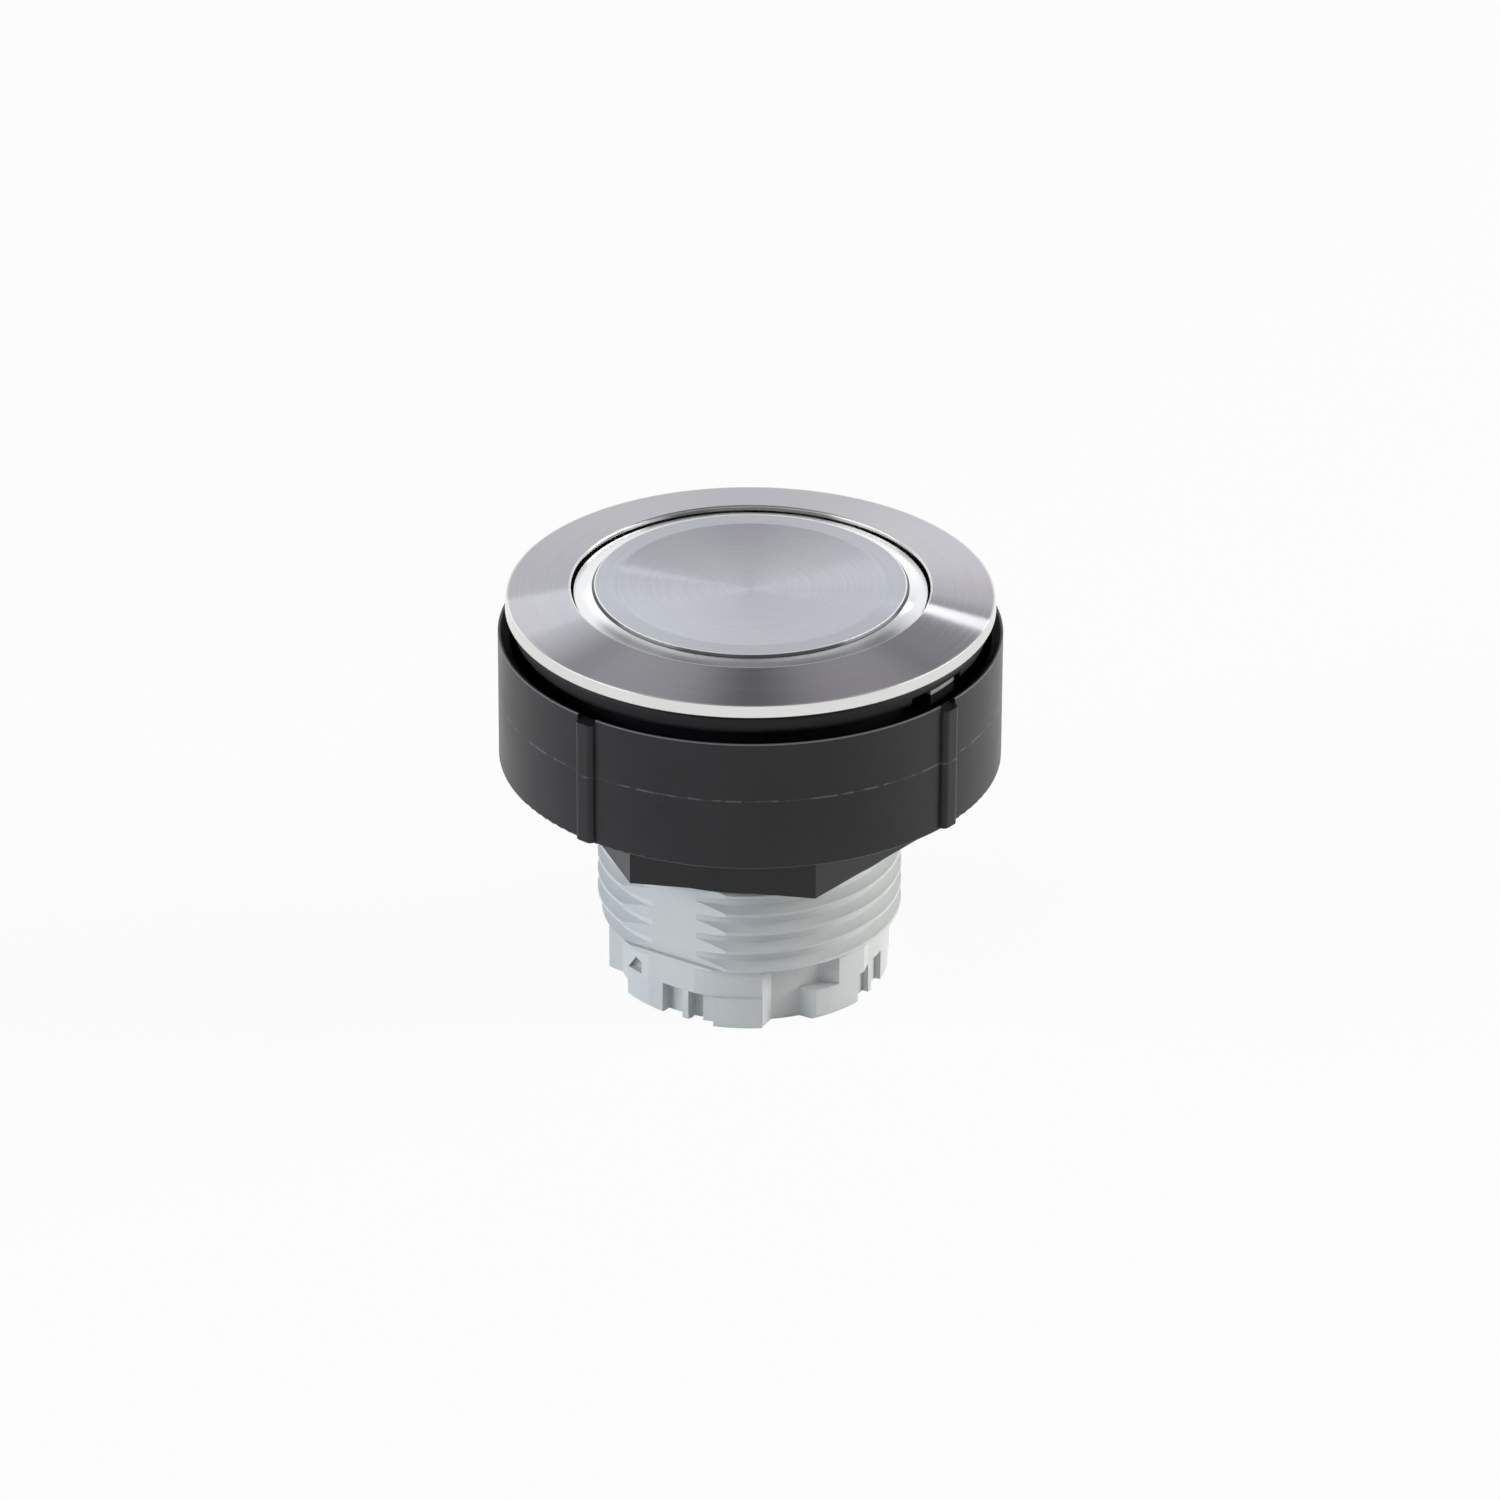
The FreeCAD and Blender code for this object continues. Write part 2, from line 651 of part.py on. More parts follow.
def anti_twist_key(doc):
    """The grey strip that lies in the head's slot, on the lug that enters a notch of the panel hole."""
    body = new_body(doc, "anti_twist_key")
    inner = HEAD_RADIUS - size("key_seat_depth") + size("key_clearance")
    pad(body, "key", key_outline(ZERO, inner, KEY_RADIUS), KEY_BOTTOM, KEY_TOP)
    return body


def panel_gasket(doc):
    """The rubber ring under the front ring, with a notch over the lug."""
    body = new_body(doc, "panel_gasket")
    inner, outer = HEAD_RADIUS + size("gasket_fit"), GASKET_RADIUS
    corner, lip = size("gasket_round"), size("gasket_lip")
    groove = outer - corner - lip
    revolve(body, "ring", [
        (inner, GASKET_BOTTOM),
        (outer - corner, GASKET_BOTTOM, corner, 1),
        (outer, GASKET_BOTTOM + corner),
        (outer, HEAD_TOP - lip - corner, corner, 1),
        (outer - corner, HEAD_TOP - lip),
        (groove, HEAD_TOP - lip),
        (groove, HEAD_TOP),
        (inner, HEAD_TOP),
    ])
    start, end = size("gasket_notch_start_azimuth"), size("gasket_notch_end_azimuth")
    near, reach = HEAD_RADIUS - size("gasket_lip"), outer + corner
    notch = [polar(near, end) + (near, -1), polar(near, start), polar(reach, start), polar(reach, end)]
    pocket(body, "notch", notch, GASKET_BOTTOM, GASKET_BOTTOM + size("gasket_notch_height"))
    return body


def front_ring(doc):
    """The turned steel ring: crowned face, bright rim and a neck that fills the cavity's wall."""
    body = new_body(doc, "front_ring")
    bore, top = size("ring_bore_radius"), RING_TOP_RADIUS
    rim, corner = RING_RIM_RADIUS, size("ring_edge_break")
    clip_floor = NECK_RADIUS - CLIP_GROOVE_HALF
    revolve(body, "turning", [
        (bore, NECK_BOTTOM),
        (NECK_RADIUS, NECK_BOTTOM),
        (NECK_RADIUS, CLIP_LEVEL - CLIP_GROOVE_HALF),
        (clip_floor, CLIP_LEVEL - CLIP_GROOVE_HALF),
        (clip_floor, CLIP_LEVEL + CLIP_GROOVE_HALF),
        (NECK_RADIUS, CLIP_LEVEL + CLIP_GROOVE_HALF),
        (NECK_RADIUS, HEAD_TOP),
        (rim - corner, HEAD_TOP),
        (rim, HEAD_TOP + corner),
        (top, RING_EDGE_TOP),
        (bore + size("ring_bore_break"), RING_CREST),
        (bore, RING_CREST - size("ring_bore_break")),
    ])
    return body


def round_section(doc, name, feature_name, radius, level, section_radius, sweep=None):
    """A ring of round section, open where it has a sweep of less than a full turn."""
    body = new_body(doc, name)
    sketch = new_sketch(body, f"{feature_name}_section", "XZ_Plane")
    draw_circle(sketch, radius, level, section_radius)
    revolve_sketch(body, feature_name, sketch, sweep=sweep)
    return body


def front_ring_o_ring(doc):
    """The seal in the corner between the front ring and the head."""
    level = HEAD_TOP - O_RING_GROOVE / 2
    return round_section(doc, "front_ring_o_ring", "seal", O_RING_RADIUS, level, size("o_ring_section") / 2)


def ring_retaining_clip(doc):
    """The open wire ring that locks the neck in the cavity."""
    sweep = measure(360) - size("clip_gap_angle")
    radius = NECK_RADIUS + size("neck_clearance") / 2
    return round_section(doc, "ring_retaining_clip", "wire", radius, CLIP_LEVEL, size("clip_wire") / 2, sweep)


def mounting_nut(doc):
    """The black skirted nut that clamps the panel, with four grip ribs and a hexagon."""
    body = new_body(doc, "mounting_nut", size("nut_azimuth"))
    corner = NUT_HEX_RADIUS / math.cos(math.pi / 6)
    hexagon = [polar(corner, measure(60 * index)) for index in range(6)]
    pad(body, "hexagon", hexagon, NUT_BOTTOM, NUT_WEB_TOP)
    radius, edge = NUT_RADIUS, size("nut_edge_break")
    land, bevel = size("nut_rim_land"), size("nut_rim_bevel")
    inside = NUT_HEX_RADIUS - size("nut_edge_break")
    revolve(body, "skirt", [
        (inside, NUT_SKIRT_BOTTOM),
        (radius - edge, NUT_SKIRT_BOTTOM, edge, 1),
        (radius, NUT_SKIRT_BOTTOM + edge),
        (radius, NUT_RIM),
        (radius - land, NUT_RIM),
        (NUT_SKIRT_INNER, NUT_RIM - bevel),
        (NUT_SKIRT_INNER, NUT_WEB_TOP),
        (inside, NUT_WEB_TOP),
    ])
    bore = NUT_BORE_RADIUS
    face = bore + size("nut_face_width")
    revolve(body, "face_ring", [
        (bore, NUT_BOTTOM - size("nut_face_height")),
        (face, NUT_BOTTOM - size("nut_face_height")),
        (face, NUT_BOTTOM + edge),
        (bore, NUT_BOTTOM + edge),
    ])
    revolve(body, "bore", rectangle(ZERO, NUT_BOTTOM - edge, bore, NUT_WEB_TOP + edge), "PartDesign::Groove")
    add_ribs(body)
    return body


def add_ribs(body):
    """Grip ribs on the skirt, each with a notch in the rim above it."""
    radius, half = NUT_RADIUS, size("rib_width") / 2
    tip, corner = NUT_RADIUS + size("rib_height"), size("rib_round")
    floor = NUT_RIM - size("rim_notch_depth")
    rib = pad(body, "rib", [
        (radius - size("nut_skirt_wall") / 2, -half),
        (tip - corner, -half, corner, 1),
        (tip, corner - half),
        (tip, half - corner, corner, 1),
        (tip - corner, half),
        (radius - size("nut_skirt_wall") / 2, half),
    ], NUT_SKIRT_BOTTOM + size("nut_edge_break"), floor)
    notch_half = size("rim_notch_width") / 2
    inner = NUT_SKIRT_INNER - size("nut_edge_break")
    outline = rectangle(inner, -notch_half, tip, notch_half)
    notch = pocket(body, "rim_notch", outline, floor, NUT_RIM + size("nut_edge_break"))
    repeat_round(body, "grip", [rib, notch], size("rib_count"))


def button_cap(doc):
    """The turned steel cap: dished face, a small step, polished shoulder, skirt and a tapped boss."""
    body = new_body(doc, "button_cap")
    face, land = CAP_FACE_RADIUS, size("cap_land")
    dish, depth = face - land, size("dish_depth")
    dish_round = (dish * dish + depth * depth) / (depth * 2)
    boss = size("cap_boss_radius")
    hole = size("screw_radius") + size("screw_thread_clearance")
    revolve(body, "turning", [
        (ZERO, CAP_FACE - depth, dish_round, 1),
        (dish, CAP_FACE),
        (face, CAP_FACE),
        (face + size("cap_step_width"), CAP_FACE - size("cap_step_height"), size("cap_shoulder_round"), -1),
        (CAP_RADIUS, CAP_EDGE),
        (CAP_RADIUS, CAP_SKIRT_BOTTOM),
        (CAP_SKIRT_INNER, CAP_SKIRT_BOTTOM),
        (CAP_SKIRT_INNER, CAP_CEILING),
        (boss, CAP_CEILING),
        (boss, CAP_BOSS_BOTTOM),
        (hole, CAP_BOSS_BOTTOM),
        (hole, CAP_HOLE_TOP),
        (ZERO, CAP_HOLE_TOP),
    ])
    return body


def plunger(doc):
    """The moulded plunger that carries the cap and runs in the front ring and the guide bush."""
    body = new_body(doc, "plunger")
    boss = PLUNGER_BOSS_BORE
    revolve(body, "moulding", [
        (SCREW_HOLE_RADIUS, CAP_BOSS_BOTTOM),
        (SCREW_HOLE_RADIUS, PLUNGER_WEB_BOTTOM),
        (STEM_BORE, PLUNGER_WEB_BOTTOM),
        (STEM_BORE, PUSHER_TOP),
        (STEM_RADIUS, PUSHER_TOP),
        (STEM_RADIUS, PLUNGER_UNDERSIDE),
        (PLUNGER_RADIUS, PLUNGER_UNDERSIDE),
        (PLUNGER_RADIUS, SEAL_BOTTOM),
        (SEAL_INNER_RADIUS, SEAL_BOTTOM),
        (SEAL_INNER_RADIUS, SEAL_TOP),
        (PLUNGER_RADIUS, SEAL_TOP),
        (PLUNGER_RADIUS, CAP_SKIRT_BOTTOM),
        (PLUNGER_TOP_RADIUS, CAP_SKIRT_BOTTOM),
        (PLUNGER_TOP_RADIUS, CAP_CEILING),
        (boss, CAP_CEILING),
        (boss, CAP_BOSS_BOTTOM),
    ])
    half = size("core_half_angle")
    inner = PLUNGER_BOSS_BORE + size("core_boss_wall")
    outer = SEAL_INNER_RADIUS - size("core_rim_wall")
    core = pocket(body, "core", [
        polar(inner, half) + (inner, -1),
        polar(inner, -half),
        polar(outer, -half) + (outer, 1),
        polar(outer, half),
    ], CAP_CEILING - size("core_depth"), CAP_CEILING)
    repeat_round(body, "cores", [core], size("core_count"))
    return body


def plunger_seal(doc):
    """The rubber ring in the plunger's groove that wipes the front ring's bore."""
    body = new_body(doc, "plunger_seal")
    bottom, top = SEAL_BOTTOM, SEAL_TOP
    lip = size("ring_bore_radius") - size("seal_bore_clearance")
    corner = size("seal_height") / 4
    revolve(body, "seal", [
        (SEAL_INNER_RADIUS, bottom),
        (lip - corner, bottom, corner, 1),
        (lip, bottom + corner),
        (lip - corner, bottom + corner * 2),
        (lip, top - corner, corner, 1),
        (lip - corner, top),
        (SEAL_INNER_RADIUS, top),
    ])
    return body


def pusher(doc):
    """The foot of the plunger, which stops under the guide bush and works the contact blocks."""
    body = new_body(doc, "pusher")
    spigot = STEM_BORE - size("plunger_fit")
    flange = SOCKET_RADIUS - size("pusher_socket_clearance")
    head_room = size("screw_head_radius") + size("screw_head_clearance")
    revolve(body, "moulding", [
        (head_room, PUSHER_NOSE_BOTTOM),
        (size("pusher_nose_radius"), PUSHER_NOSE_BOTTOM),
        (size("pusher_nose_radius"), PUSHER_FLANGE_BOTTOM),
        (flange, PUSHER_FLANGE_BOTTOM),
        (flange, PUSHER_TOP),
        (spigot, PUSHER_TOP),
        (spigot, PUSHER_SPIGOT_TOP),
        (SCREW_HOLE_RADIUS, PUSHER_SPIGOT_TOP),
        (SCREW_HOLE_RADIUS, LOCK_WASHER_TOP),
        (head_room, LOCK_WASHER_TOP),
    ])
    return body


def centre_screw(doc):
    """The long screw that ties the pusher and the plunger to the cap."""
    body = new_body(doc, "centre_screw")
    head, shank = size("screw_head_radius"), size("screw_radius")
    tip = CAP_HOLE_TOP - size("screw_tip_clearance")
    revolve(body, "turning", [
        (ZERO, SCREW_HEAD_BOTTOM),
        (head, SCREW_HEAD_BOTTOM),
        (head, SCREW_HEAD_TOP),
        (shank, SCREW_HEAD_TOP),
        (shank, tip - shank / 4),
        (shank * 0.75, tip),
        (ZERO, tip),
    ])
    half = size("screw_slot_width") / 2
    slot = rectangle(-head, -half, head, half)
    pocket(body, "slot", slot, SCREW_HEAD_BOTTOM, SCREW_HEAD_BOTTOM + size("screw_slot_depth"))
    return body


def washer(doc, name, inner, outer, bottom, top):
    """A flat ring between two levels."""
    body = new_body(doc, name)
    revolve(body, "ring", rectangle(inner, bottom, outer, top))
    return body


def screw_lock_washer(doc):
    """The washer between the screw's head and the pusher."""
    outer = size("screw_head_radius")
    return washer(doc, "screw_lock_washer", SCREW_HOLE_RADIUS, outer, SCREW_HEAD_TOP, LOCK_WASHER_TOP)


def guide_bush(doc):
    """The bush on the sleeve's shoulder that guides the stem and stops the pusher."""
    bore = STEM_RADIUS + size("stem_clearance")
    outer = SLEEVE_BORE - size("bush_fit")
    return washer(doc, "guide_bush", bore, outer, SHOULDER, BUSH_TOP)


def spring_seat(doc):
    """The steel washer that takes the spring's lower end."""
    bore = STEM_RADIUS + size("stem_clearance")
    outer = SLEEVE_BORE - size("bush_fit")
    return washer(doc, "spring_seat", bore, outer, BUSH_TOP, SPRING_SEAT)


def stop_bumper(doc):
    """The rubber ring on the flange that ends the stroke."""
    inner = SLEEVE_BORE + size("bumper_inner_gap")
    outer = inner + size("bumper_width")
    return washer(doc, "stop_bumper", inner, outer, FLANGE_TOP, BUMPER_TOP)


def return_spring(doc):
    """The coil spring between its seat and the plunger's underside, with a closed turn at each end."""
    body = new_body(doc, "return_spring")
    half = size("spring_wire") / 2
    closed = size("spring_wire") + size("spring_end_gap")
    first = SPRING_SEAT + half
    last = PLUNGER_UNDERSIDE - half
    coils = (
        ("lower_end", first, first + closed, measure(1)),
        ("coil", first + closed, last - closed, size("spring_turns")),
        ("upper_end", last - closed, last, measure(1)),
    )
    for name, start, end, turns in coils:
        sketch = new_sketch(body, f"{name}_section", "XZ_Plane")
        draw_circle(sketch, SPRING_INNER_RADIUS + half, start, half)
        coil = body.newObject("PartDesign::AdditiveHelix", name)
        coil.Profile = sketch
        coil.ReferenceAxis = (sketch, ["V_Axis"])
        coil.Mode = "height-turns-angle"
        coil.setExpression("Height", (end - start).formula)
        coil.setExpression("Turns", turns.formula)
    return body


BUILDERS = (
    threaded_body,
    head_housing,
    anti_twist_key,
    front_ring,
    front_ring_o_ring,
    ring_retaining_clip,
    panel_gasket,
    mounting_nut,
    stop_bumper,
    guide_bush,
    spring_seat,
    return_spring,
    button_cap,
    plunger,
    plunger_seal,
    pusher,
    centre_screw,
    screw_lock_washer,
)


def check_document(doc):
    """Stop where any object failed to build."""
    for item in doc.Objects:
        if "Invalid" in item.State or "Error" in item.State:
            raise RuntimeError(f"{item.Name} did not build: {item.State}")


def check_solid(piece):
    """Stop where a piece isn't one sound solid."""
    shape = piece.Shape
    if shape.isNull() or not shape.isValid():
        raise RuntimeError(f"{piece.Label} has no valid shape")
    if len(shape.Solids) != 1:
        raise RuntimeError(f"{piece.Label} has {len(shape.Solids)} solids")


def main():
    """Build every piece and write one file for each."""
    doc = FreeCAD.newDocument("push_button")
    write_sheet(doc)
    pieces = [build(doc) for build in BUILDERS]
    doc.recompute()
    check_document(doc)
    for piece in pieces:
        check_solid(piece)
    os.makedirs("parts", exist_ok=True)
    for piece in pieces:
        piece.Shape.exportStep(f"parts/{piece.Label}.step")
        box = piece.Shape.BoundBox
        print(f"{piece.Label}: {piece.Shape.Volume:.1f} mm3, z {box.ZMin:.2f} to {box.ZMax:.2f}, "
              f"x {box.XMin:.2f} to {box.XMax:.2f}")


main()
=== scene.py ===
import math
from collections import namedtuple

import bpy
from mathutils import Matrix, Vector


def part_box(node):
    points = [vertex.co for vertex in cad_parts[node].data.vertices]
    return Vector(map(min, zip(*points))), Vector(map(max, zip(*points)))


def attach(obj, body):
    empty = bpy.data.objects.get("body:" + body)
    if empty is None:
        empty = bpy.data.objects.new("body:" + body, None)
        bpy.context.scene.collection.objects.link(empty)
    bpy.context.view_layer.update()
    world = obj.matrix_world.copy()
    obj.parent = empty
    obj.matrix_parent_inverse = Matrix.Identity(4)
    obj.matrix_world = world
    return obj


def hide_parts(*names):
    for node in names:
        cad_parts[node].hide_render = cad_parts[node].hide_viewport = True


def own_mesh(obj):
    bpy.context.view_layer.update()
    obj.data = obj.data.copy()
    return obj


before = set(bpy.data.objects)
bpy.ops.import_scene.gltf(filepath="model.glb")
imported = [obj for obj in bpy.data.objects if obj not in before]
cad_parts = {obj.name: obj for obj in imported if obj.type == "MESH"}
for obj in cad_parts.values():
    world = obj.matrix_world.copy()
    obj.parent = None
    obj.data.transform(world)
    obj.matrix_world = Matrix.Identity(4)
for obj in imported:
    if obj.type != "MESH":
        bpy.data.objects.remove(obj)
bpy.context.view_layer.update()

# A flush push button: its steel, plastic and rubber finishes, the spring as its own piece, and a studio.
# Lengths are in metres, angles in degrees, and noise scales in features per metre.
MM = 0.001
WHITE = (1.0, 1.0, 1.0, 1.0)

# Places on the object that the finishes follow, from the frame where it gives them
CAP_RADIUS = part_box("button_cap")[1][0]
RING_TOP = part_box("front_ring")[1][2]
RING_RIM_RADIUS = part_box("front_ring")[1][0] - 0.10 * MM
RING_BORE_RADIUS = CAP_RADIUS + 0.20 * MM
NUT_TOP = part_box("mounting_nut")[1][2]
NUT_RIM_RADIUS = 18.08 * MM

# Borders between two finishes, or of painted shade and a painted highlight, each as the values where its
# fade starts and ends
RING_FACE_INNER = (RING_BORE_RADIUS + 0.10 * MM, RING_BORE_RADIUS + 0.16 * MM)
RING_FACE_OUTER = (RING_RIM_RADIUS - 0.16 * MM, RING_RIM_RADIUS - 0.06 * MM)
RING_FACE_BOTTOM = (RING_TOP - 0.90 * MM, RING_TOP - 0.80 * MM)
CAP_FACE_OUTER = (CAP_RADIUS - 1.58 * MM, CAP_RADIUS - 1.54 * MM)
# Where shade is painted on the button's step
CAP_STEP_INNER = (CAP_RADIUS - 1.49 * MM, CAP_RADIUS - 1.46 * MM)
CAP_STEP_OUTER = (CAP_RADIUS - 1.32 * MM, CAP_RADIUS - 1.29 * MM)
# Where a highlight is painted along the sharp edge of the nut's rim
NUT_RIM_HIGHLIGHT_INNER = (NUT_RIM_RADIUS - 0.16 * MM, NUT_RIM_RADIUS - 0.08 * MM)
NUT_RIM_HIGHLIGHT_BOTTOM = (NUT_TOP - 0.10 * MM, NUT_TOP - 0.04 * MM)

# Turned steel: colours, lowest and highest roughness, and the radius of its softened edges
Steel = namedtuple("Steel", "brushed brushed_roughness polished polished_roughness edge")
RING_STEEL = Steel((0.415, 0.410, 0.445), (0.095, 0.115), (0.72, 0.715, 0.70), (0.06, 0.12), 0.10 * MM)
CAP_STEEL = Steel((0.480, 0.495, 0.543), (0.120, 0.145), (0.86, 0.872, 0.89), (0.14, 0.20), 0.05 * MM)

# Painted shade on the step of the button: the share of its light that the step gives back
PAINTED_STEP_SHADE = 0.12

# Brushing: how fast its noise changes from ring to ring and along a ring, and how strongly it shows
FINE_STREAKS = (11000.0, 1.6)
BROAD_STREAKS = (2600.0, 0.5)
DRAWN_STREAKS = (7000.0, 2.0)
FINE_SHARE = 0.80
BRUSHED_TONES = (0.955, 1.045)
BRUSHED_DEPTH, BRUSHED_STRENGTH = 0.002 * MM, 0.5

# Brushed steel's tarnish runs between two tints, and smudges lie on polished steel.
WARM_TINT = (1.01, 0.99, 0.985)
COOL_TINT = (0.99, 1.01, 1.015)
TARNISH_SCALE = 60.0
SMUDGE_SCALE = 260.0

# The sheen of brushed steel crosses its rings, which is a quarter turn from the tangent.
SHEEN_STRENGTH = 1.0
SHEEN_TURN = 0.25

# Streaks are drawn out from this distance from the axis, because nearer they would run together.
STREAK_START = 0.2 * MM

# Small steel parts: colour and middle roughness, how far that spreads, and the tone and depth of
# their marks
ZINC_PLATE = ((0.70, 0.70, 0.68), 0.30)
SPRING_WIRE = ((0.55, 0.55, 0.56), 0.26)
STEEL_SPREAD = (-0.06, 0.08)
MARK_TONE = 0.82
MARK_DEPTH, MARK_STRENGTH = 0.004 * MM, 0.4

# Moulded plastic: darkest and lightest colour, middle roughness, depth of the grain and gloss, then
# how far the roughness spreads, how strongly the grain shows and how soft the edges are
Plastic = namedtuple("Plastic", "dark light roughness grain gloss")
GREY_PLASTIC = Plastic((0.525, 0.545, 0.555), (0.565, 0.585, 0.595), 0.42, 0.006 * MM, 0.5)
KEY_PLASTIC = Plastic((0.30, 0.31, 0.32), (0.34, 0.35, 0.36), 0.42, 0.006 * MM, 0.5)
NATURAL_PLASTIC = Plastic((0.60, 0.59, 0.55), (0.68, 0.67, 0.63), 0.40, 0.006 * MM, 0.5)
BLACK_PLASTIC = Plastic((0.010, 0.010, 0.0115), (0.0155, 0.0155, 0.0175), 0.38, 0.012 * MM, 0.3)
NUT_PLASTIC = BLACK_PLASTIC._replace(grain=0.030 * MM)
PLASTIC_SPREAD = (-0.05, 0.06)
PLASTIC_STRENGTH = 0.6
PLASTIC_EDGE = 0.08 * MM

# Its flow marks and its grain, and how much the flow marks count in its tone and in its height
FLOW_SCALE = 190.0
GRAIN_SCALE = 3200.0
FLOW_TONE_SHARE = 0.7
FLOW_HEIGHT_SHARE = 0.6

# Pale lines on the nut, its parting line and a painted highlight on its rim: their colour, then
# the level of the mould's parting line, how far it wanders and fades, how strong it is, and the
# noise that breaks it
PARTING_LINE_AND_HIGHLIGHT_COLOUR = (0.16, 0.16, 0.17, 1.0)
PARTING_LEVEL = NUT_TOP - 4.5 * MM
PARTING_WANDER = 0.10 * MM
PARTING_FADE = (0.03 * MM, 0.09 * MM)
PARTING_SHARE = 0.45
PARTING_SCALE = 900.0
PARTING_GAPS = (0.46, 0.56)
PARTING_GAP_SHARE = 0.15

# Sealing rubber
RUBBER_DARK = (0.008, 0.008, 0.009, 1.0)
RUBBER_LIGHT = (0.014, 0.014, 0.016, 1.0)
RUBBER_ROUGHNESS = (0.44, 0.60)
RUBBER_GLOSS = 0.25
RUBBER_EDGE = 0.25 * MM
BLOOM_SCALE = 700.0
BLOOM_DEPTH, BLOOM_STRENGTH = 0.01 * MM, 0.5

# The mean of smooth noise, the values that it mostly keeps to, and two narrower ranges in these
NOISE_MEAN = 0.5
NOISE_RANGE = (0.3, 0.7)
NOISE_MIDDLE = (0.35, 0.65)
NOISE_CORE = (0.4, 0.6)

# How many rays look for a softened edge
EDGE_SAMPLES = 4

# The studio that steel mirrors: white up to one height, dim from another, and less white in front.
# Heights and reaches in it are parts of a direction whose length is 1.
STUDIO_WHITE_UP_TO = 0.42
STUDIO_DIM_FROM = 0.76
STUDIO_DIM = 0.17
STUDIO_FRONT_FADE = (-0.45, 0.0)
STUDIO_FRONT_LEVEL = 0.85

# The white reaches higher towards both sides, and higher on the left than on the right.
STUDIO_SIDE_LIFT = 0.40
STUDIO_LEFT_LIFT = 0.30
STUDIO_LIFT_REACH = 0.25

# The level of the plain light that reaches the object from all round and isn't mirrored
ROOM_LEVEL = 0.18

# Round panels laid over the mirrored studio, each over those before it: the direction of its
# middle, how far from there it is full and where it ends, and its level
Panel = namedtuple("Panel", "direction full end level")
STUDIO_PANELS = {
    "left_overhead": Panel((-0.55, 0.17, 0.82), 8.0, 13.0, 1.0),
    "right_overhead": Panel((0.55, 0.17, 0.82), 8.0, 13.0, 1.0),
    "left_side": Panel((-0.95, -0.20, 0.22), 20.0, 32.0, 2.5),
    "right_side": Panel((0.97, 0.10, 0.22), 20.0, 32.0, 3.0),
    "right_bright": Panel((0.126, 0.95, 0.29), 2.0, 9.0, 1.2),
    "right_dark": Panel((0.157, 0.83, 0.54), 2.0, 7.0, 0.45),
    "left_dark": Panel((-0.23, 0.665, 0.71), 5.0, 11.0, 0.13),
    "front_right_dark": Panel((0.24, 0.66, 0.71), 4.0, 10.0, 0.13),
    "front_left_ring": Panel((-0.10, 0.72, 0.688), 1.0, 6.0, 0.68),
    "front_right_ring": Panel((0.10, 0.72, 0.688), 1.0, 6.0, 0.60),
    "overhead": Panel((0.0, 0.40, 0.92), 10.0, 18.0, 0.20),
    "zenith": Panel((0.0, 0.0, 1.0), 8.0, 15.0, 0.70),
    "low_back": Panel((0.0, 0.999, -0.04), 3.0, 8.0, 0.40),
}

# Lamps: direction from the object, distance, width, height, watts, tint and whether steel mirrors it
Lamp = namedtuple("Lamp", "direction distance width height power tint mirrored")
PLAIN_TINT = (1.0, 1.0, 1.0)
LAMP_AIM_HEIGHT = 0.022
LAMPS = {
    "left_softbox": Lamp((-0.93, -0.27, 0.26), 0.8, 0.50, 0.36, 5.3, (0.88, 0.94, 1.0), False),
    "right_softbox": Lamp((0.95, 0.08, 0.30), 0.8, 0.50, 0.36, 6.5, (1.0, 1.0, 0.93), False),
    "top_softbox": Lamp((0.0, -0.50, 0.87), 0.9, 0.50, 0.50, 1.7, PLAIN_TINT, False),
    "right_strip": Lamp((0.151, 0.851, 0.503), 1.2, 0.12, 0.040, 0.042, PLAIN_TINT, True),
    "left_patch": Lamp((-0.152, 0.857, 0.493), 1.2, 0.15, 0.15, 0.030, PLAIN_TINT, True),
}

# The floor, and the share of plain white that the camera and mirrored rays see in it
FLOOR_HALF = 3.0
FLOOR_COLOUR = (0.82, 0.82, 0.82, 1.0)
FLOOR_WHITE_SHARE = 0.93

# The camera, with its lens and sensor in millimetres
CAMERA_ELEVATION = 27.65
CAMERA_ROLL = 0.24
CAMERA_AIM_HEIGHT = 0.01694
CAMERA_DISTANCE = 0.651
CAMERA_LENS = 216.9
CAMERA_SENSOR = 36.0
CAMERA_NEAREST = 0.01

Place = namedtuple("Place", "point across along up radius")


